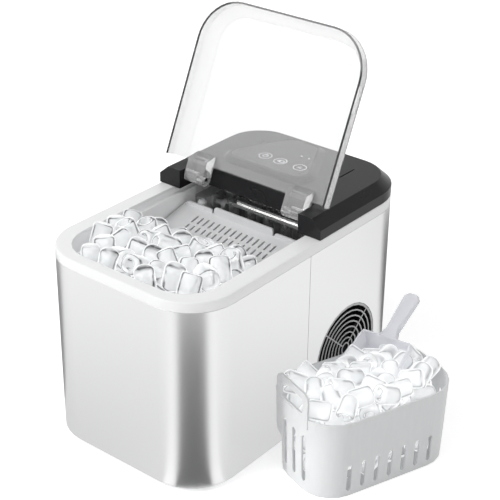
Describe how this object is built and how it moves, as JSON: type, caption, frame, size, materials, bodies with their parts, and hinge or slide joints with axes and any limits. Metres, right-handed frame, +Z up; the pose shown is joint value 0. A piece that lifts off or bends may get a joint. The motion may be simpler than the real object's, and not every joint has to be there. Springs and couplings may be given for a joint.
{
  "type": "countertop ice maker",
  "caption": "Countertop bullet ice maker in brushed steel with clear lid open, dark rear cover with touch panel, ice shovel, fan grille, and a slotted ice basket with a scoop beside it.",
  "frame": {"origin": "on the counter, at the middle of the footprint of everything that stands there: the machine with its open lid and the basket beside it", "axes": "+Z up, -Y out of the machine's front, +X out of the flank with the fan opening, towards the basket"},
  "size_m": [0.3692, 0.3732, 0.4245],
  "materials": {
    "steel": "brushed",
    "galvanised": "satin",
    "white_plastic": "satin",
    "foam": "matt",
    "black_plastic": "satin",
    "panel_lens": "gloss",
    "circuit_board": "satin",
    "grey_plastic": "satin",
    "dark_plastic": "satin",
    "aluminium_fin": "bare",
    "black_enamel": "gloss",
    "copper": "bare",
    "bright_nickel": "polished",
    "silicone": "satin",
    "rubber": "matt",
    "clear_plastic": "clear",
    "frosted_plastic": "translucent"
  },
  "bodies": {
    "casing": {"front_wrap": "steel", "rear_wrap": "steel", "base_pan": "galvanised", "top_frame": "white_plastic", "water_tank": "white_plastic", "foam_jacket": "foam", "rear_cover": "black_plastic", "touch_panel": "panel_lens", "control_board": "circuit_board", "fan_grille": "grey_plastic", "fan_motor": "galvanised", "fan_shroud": "black_plastic", "condenser": "aluminium_fin", "compressor": "black_enamel", "discharge_pipe": "copper", "filter_drier": "copper", "liquid_pipe": "copper", "capillary_pipe": "copper", "suction_pipe": "copper", "evaporator": "bright_nickel", "evaporator_strap_left": "galvanised", "evaporator_strap_right": "galvanised", "tray_motor": "grey_plastic", "water_pump": "dark_plastic", "pump_inlet_hose": "silicone", "tray_fill_hose": "silicone", "drain_hose": "silicone", "drain_spout": "white_plastic", "cord_gland": "rubber", "power_box": "white_plastic", "power_board": "circuit_board", "hinge_pin_left": "black_plastic", "hinge_pin_right": "black_plastic", "foot_front_left": "rubber", "foot_front_right": "rubber", "foot_rear_left": "rubber", "foot_rear_right": "rubber", "compressor_grommet_front_left": "rubber", "compressor_grommet_front_right": "rubber", "compressor_grommet_rear_left": "rubber", "compressor_grommet_rear_right": "rubber", "ice_sensor_left": "grey_plastic", "ice_sensor_right": "grey_plastic"},
    "lid": {"lid": "clear_plastic"},
    "water_tray": {"water_tray": "dark_plastic"},
    "ice_shovel": {"ice_shovel": "white_plastic"},
    "fan": {"fan_blade": "dark_plastic", "fan_shaft": "galvanised"},
    "drain_plug": {"drain_plug": "silicone"},
    "basket": {"basket": "white_plastic"},
    "scoop": {"scoop": "frosted_plastic"}
  },
  "joints": [
    {"name": "lid_hinge", "type": "hinge", "parent": "casing", "child": "lid", "pos_m": [-0.0731, 0.02085, 0.24], "axis": [1, 0, 0], "range_deg": [0, 114.5]},
    {"name": "tray_tilt", "type": "hinge", "parent": "casing", "child": "water_tray", "pos_m": [-0.0731, 0.05939, 0.195], "axis": [1, 0, 0], "range_deg": [0, 60]},
    {"name": "ice_shovel_swing", "type": "hinge", "parent": "casing", "child": "ice_shovel", "pos_m": [-0.0731, -0.02565, 0.192], "axis": [1, 0, 0], "range_deg": [0, 35]},
    {"name": "fan_spin", "type": "hinge", "parent": "casing", "child": "fan", "pos_m": [0.0169, 0.06435, 0.068], "axis": [1, 0, 0], "continuous": true},
    {"name": "drain_plug_pull", "type": "slide", "parent": "casing", "child": "drain_plug", "axis": [0, 1, 0], "range_m": [0, 0.025]},
    {"name": "basket_lift", "type": "slide", "parent": "casing", "child": "basket", "axis": [0, 0, 1], "range_m": [0, 0.25]},
    {"name": "scoop_lift", "type": "slide", "parent": "basket", "child": "scoop", "axis": [0, 0, 1], "range_m": [0, 0.2]}
  ],
  "couplings": [
    {"joint": "ice_shovel_swing", "follows": "tray_tilt", "ratio": 0.58}
  ]
}
